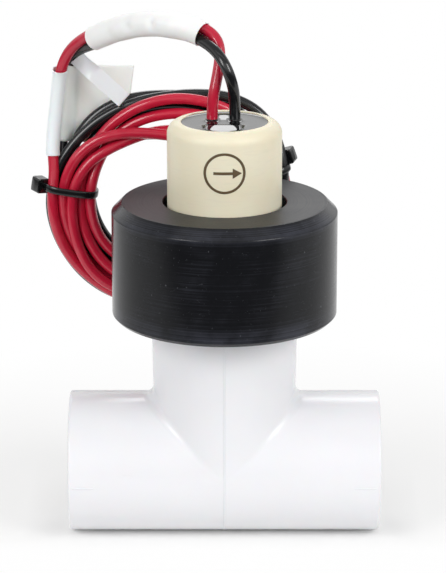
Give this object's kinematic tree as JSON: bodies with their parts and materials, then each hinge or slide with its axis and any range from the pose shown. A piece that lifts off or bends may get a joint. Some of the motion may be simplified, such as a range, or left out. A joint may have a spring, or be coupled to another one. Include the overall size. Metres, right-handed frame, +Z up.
{
  "type": "tee flow sensor",
  "caption": "White socket tee with an impeller flow sensor in its branch: black collar nut, cream housing with epoxy top, red and black leads coiled behind with ties and blank tags.",
  "frame": {"origin": "where the run's axis meets the branch's axis", "axes": "+X along the run with the flow, out of the outlet socket; +Z up the branch; +Y to the rear, where the leads' coil is"},
  "size_m": [0.1049, 0.0818, 0.1538],
  "materials": {
    "white_pvc": "moulded, slightly glossy",
    "black_collar": "turned, satin",
    "cream_housing": "moulded, satin",
    "mark_paint": "paint in a groove",
    "slip_plastic": "smooth",
    "seal_rubber": "moulded",
    "steel": "ground",
    "impeller_plastic": "moulded",
    "bobbin_plastic": "moulded",
    "copper": "drawn",
    "ferrite": "sintered",
    "tinned_metal": "tinned",
    "board_laminate": "solder mask",
    "chip_plastic": "moulded",
    "capacitor_can": "drawn",
    "black_epoxy": "cast, glossy",
    "red_insulation": "extruded",
    "black_insulation": "extruded",
    "black_nylon": "moulded",
    "white_sleeve": "heat-shrunk",
    "white_tag": "film, matt"
  },
  "bodies": {
    "tee_and_sensor": {"tee_body": "white_pvc", "branch_sleeve": "white_pvc", "alignment_pin": "steel", "sensor_housing": "cream_housing", "flow_mark": "mark_paint", "stem_o_ring_upper": "seal_rubber", "stem_o_ring_lower": "seal_rubber", "impeller_shaft": "steel", "shaft_plugs": "cream_housing", "coil_bobbin": "bobbin_plastic", "sense_coil": "copper", "ferrite_core": "ferrite", "bobbin_pins": "tinned_metal", "circuit_board": "board_laminate", "signal_chip": "chip_plastic", "voltage_regulator": "chip_plastic", "filter_capacitor": "capacitor_can", "chip_resistors": "chip_plastic", "potting": "black_epoxy", "inner_lead_red": "red_insulation", "inner_lead_black": "black_insulation", "solder_joints": "tinned_metal", "red_lead": "red_insulation", "black_lead": "black_insulation", "lead_coil": "red_insulation", "red_copper_tip": "copper", "black_copper_tip": "copper", "cable_tie_left": "black_nylon", "cable_tie_right": "black_nylon", "lead_sleeve": "white_sleeve", "marker_sleeve": "white_sleeve", "flag_tag": "white_tag", "strip_tag": "white_tag"},
    "slip_ring": {"slip_washer": "slip_plastic"},
    "collar": {"collar_nut": "black_collar"},
    "rotor": {"impeller": "impeller_plastic", "impeller_bush_rear": "slip_plastic", "impeller_bush_front": "slip_plastic", "blade_targets": "steel"}
  },
  "joints": [
    {"name": "impeller_spin", "type": "hinge", "parent": "tee_and_sensor", "child": "rotor", "pos_m": [0, 0, 0.004], "axis": [0, -1, 0], "continuous": true},
    {"name": "collar_lift", "type": "slide", "parent": "tee_and_sensor", "child": "slip_ring", "axis": [0, 0, 1], "range_m": [0, 0.012]},
    {"name": "collar_turn", "type": "hinge", "parent": "slip_ring", "child": "collar", "pos_m": [0, 0, 0.063], "axis": [0, 0, 1], "range_deg": [0, 1080]}
  ],
  "couplings": [
    {"joint": "collar_lift", "follows": "collar_turn", "m_per_rad": 0.0006366}
  ]
}
